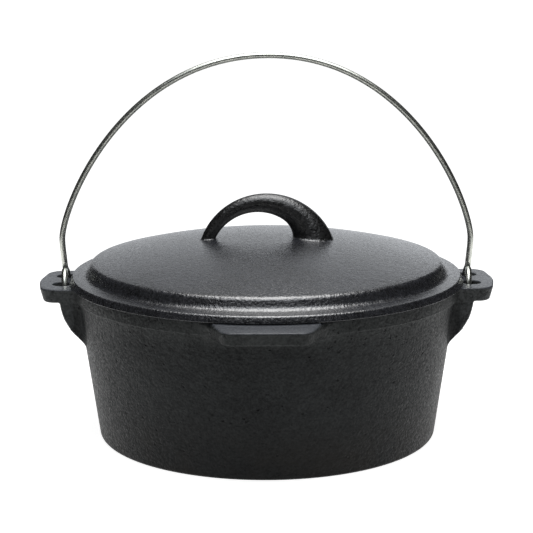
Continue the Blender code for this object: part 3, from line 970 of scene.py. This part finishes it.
def makeBail():
    s = bailSizes
    left = bailHalf(-s["crownShift"])
    path = bailHalf(s["crownShift"]) + [Vector((-p.x, p.y, p.z)) for p in reversed(left[:-1])]
    path = [p + Vector((0, 0, s["hinge"])) for p in path]
    bail = sweptPiece("wireBail", path, [s["wire"] / 2] * len(path), s["sides"], 1.0, wireMaterial)
    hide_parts("bail")
    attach(bail, "bail")
    print("pot scene: bail made,", len(bail.data.polygons), "faces")


makeBail()


stageSizes = {
    "floorHalf": 6.0, "floorColour": (0.55, 0.55, 0.55), "floorGlow": 0.92, "world": 0.24,
    "glowColour": (0.93, 0.96, 1.0), "black": (0.02, 0.02, 0.02), "blackRough": 0.9,
    "backHalf": 0.27, "backY": 0.45, "backTop": 0.8, "backGlow": (1.13, 0.12),
    "backEnds": (-0.5, 0.5), "backAcross": (0.6, 1.4),
    "frontHalf": 0.60, "frontY": -1.1, "frontLow": 0.80, "frontTop": 1.4, "frontGlow": (0.03, 1.6),
    "overFar": -1.08, "overNear": -0.46, "overZ": 1.13, "overGlow": (1.6, 3.2),
}


def upright(x1, y1, x2, y2, top):
    return [(x1, y1, 0), (x2, y2, 0), (x2, y2, top), (x1, y1, top)]


def level(half, y1, y2, height):
    return [(-half, y1, height), (half, y1, height), (half, y2, height), (-half, y2, height)]


blackCards = {
    # what darkens the studio at its sides and close to the pot; only reflections show these
    "leftCard": upright(-0.8, -1.1, -0.8, 1.2, 1.6),
    "rightCard": upright(0.9, -1.1, 0.9, 1.1, 1.6),
    "frontLeftCard": upright(-0.8, -1.1, -0.6, -1.1, 1.4),
    "frontRightCard": upright(0.6, -1.1, 0.9, -1.1, 1.4),
    "nearFloorCard": level(0.4, -0.75, -0.40, 0.003),
    "backLeftCard": upright(-0.8, 0.46, -0.28, 0.46, 1.2),
    "backRightCard": upright(0.28, 0.46, 0.9, 0.46, 1.2),
}


def bareTree(owner, outputKind):
    # the nodes of a material or a world, cleared down to the output
    owner.use_nodes = True
    tree = owner.node_tree
    tree.nodes.clear()
    return tree, addNode(tree, outputKind, (600, 0)).inputs["Surface"]


def placeCard(name, corners, material):
    card = newPiece(name, corners, [], [(0, 1, 2, 3)])
    card.data.materials.append(material)
    card.visible_camera = card.visible_diffuse = card.visible_shadow = False


def backStrength(tree, spot):
    # darkens upwards and brightens to the right, as the lid's reflections do
    s = stageSizes
    upwards = remap(tree, spot["Z"], (0.0, s["backTop"]), s["backGlow"], (-60, 0))
    across = remap(tree, spot["X"], s["backEnds"], s["backAcross"], (-60, -200))
    return combine(tree, "MULTIPLY", upwards, across, (80, -100))


def frontStrength(tree, spot):
    # black at the floor, pale high up
    s = stageSizes
    return remap(tree, spot["Z"], (s["frontLow"], s["frontTop"]), s["frontGlow"], (-60, 0))


def overStrength(tree, spot):
    # the lamp's light fades towards the camera
    s = stageSizes
    return remap(tree, spot["Y"], (s["frontY"], s["overNear"]), s["overGlow"], (-60, 0))


def glowCard(name, corners, strengthOf):
    # a card that shines as a reflection only
    material = bpy.data.materials.new(name)
    tree, surface = bareTree(material, "ShaderNodeOutputMaterial")
    glow = addNode(tree, "ShaderNodeEmission", (200, 0))
    glow.inputs["Color"].default_value = (*stageSizes["glowColour"], 1)
    strength = strengthOf(tree, splitCoords(tree, objectCoords(tree), (-300, 0)))
    tree.links.new(strength, glow.inputs["Strength"])
    tree.links.new(glow.outputs[0], surface)
    placeCard(name, corners, material)


def makeCards():
    s = stageSizes
    material, _, surface = newMaterial("blackCard")
    surface.inputs["Base Color"].default_value = (*s["black"], 1)
    surface.inputs["Roughness"].default_value = s["blackRough"]
    for name, corners in blackCards.items():
        placeCard(name, corners, material)
    back, front = s["backHalf"], s["frontHalf"]
    glowCard("backCard", upright(-back, s["backY"], back, s["backY"], s["backTop"]), backStrength)
    glowCard("frontCard", upright(-front, s["frontY"], front, s["frontY"], s["frontTop"]), frontStrength)
    glowCard("overCard", level(front, s["overFar"], s["overNear"], s["overZ"]), overStrength)


def bySight(tree, unseen, seen, surface):
    # the second shader shows to the camera, off a gloss or through glass; the first lights the rest
    path = addNode(tree, "ShaderNodeLightPath", (-700, 300)).outputs
    first = combine(tree, "MAXIMUM", path["Is Camera Ray"], path["Is Glossy Ray"], (-450, 300))
    direct = combine(tree, "MAXIMUM", first, path["Is Transmission Ray"], (-250, 300))
    chosen = addNode(tree, "ShaderNodeMixShader", (400, 0))
    for socket, output in zip(chosen.inputs, (direct, unseen, seen)):
        tree.links.new(output, socket)
    tree.links.new(chosen.outputs[0], surface)


def makeFloor():
    s = stageSizes
    half = s["floorHalf"]
    floor = newPiece("studioFloor", level(half, -half, half, 0), [], [(0, 1, 2, 3)])
    material = bpy.data.materials.new("studioFloor")
    tree, surface = bareTree(material, "ShaderNodeOutputMaterial")
    paint = addNode(tree, "ShaderNodeBsdfDiffuse", (0, 100))
    paint.inputs["Color"].default_value = (*s["floorColour"], 1)
    glow = addNode(tree, "ShaderNodeEmission", (0, -100))
    glow.inputs["Strength"].default_value = s["floorGlow"]
    both = addNode(tree, "ShaderNodeAddShader", (200, 0))
    tree.links.new(paint.outputs[0], both.inputs[0])
    tree.links.new(glow.outputs[0], both.inputs[1])
    bySight(tree, paint.outputs[0], both.outputs[0], surface)
    floor.data.materials.append(material)


def makeWorld():
    # white to look at, weaker as a light
    world = bpy.data.worlds.new("studio")
    bpy.context.scene.world = world
    tree, surface = bareTree(world, "ShaderNodeOutputWorld")
    lights = []
    for strength, low in ((stageSizes["world"], 100), (1, -100)):
        light = addNode(tree, "ShaderNodeBackground", (0, low))
        light.inputs["Color"].default_value = (1, 1, 1, 1)
        light.inputs["Strength"].default_value = strength
        lights.append(light.outputs[0])
    bySight(tree, *lights, surface)


lampSizes = {"place": (0.04, -0.06, 1.12), "size": (0.76, 0.80), "power": 9.3, "aim": (0, 0, 0.09)}


def makeLamp():
    # one wide soft box over the pot
    s = lampSizes
    lamp = bpy.data.lights.new("topBox", "AREA")
    lamp.shape = "RECTANGLE"
    lamp.size, lamp.size_y = s["size"]
    lamp.energy = s["power"]
    holder = linkPiece("topBox", lamp)
    holder.location = s["place"]
    holder.rotation_euler = (Vector(s["aim"]) - holder.location).to_track_quat("-Z", "Y").to_euler()
    holder.visible_camera = False


cameraSizes = {
    "distance": 1.2, "tilt": math.radians(11.89), "roll": math.radians(0.27), "lens": 118.597, "sensor": 36.0,
    "aim": (0.0, 0.0, 0.1146), "nearest": 0.05,
}


def makeCamera():
    s = cameraSizes
    data = bpy.data.cameras.new("photoCamera")
    data.sensor_fit = "HORIZONTAL"
    data.sensor_width = s["sensor"]
    data.lens = s["lens"]
    data.clip_start = s["nearest"]
    forward = Vector((0, math.cos(s["tilt"]), -math.sin(s["tilt"])))
    right = Vector((1, 0, 0))
    up = right.cross(forward)
    turnedRight = right * math.cos(s["roll"]) - up * math.sin(s["roll"])
    turnedUp = right * math.sin(s["roll"]) + up * math.cos(s["roll"])
    matrix = Matrix((turnedRight, turnedUp, -forward)).transposed().to_4x4()
    matrix.translation = Vector(s["aim"]) - forward * s["distance"]
    camera = linkPiece("photoCamera", data)
    camera.matrix_world = matrix
    bpy.context.scene.camera = camera


makeFloor()
makeCards()
makeWorld()
makeLamp()
makeCamera()
bpy.context.scene.view_settings.view_transform = "Standard"
print("pot scene: floor, light and camera made")
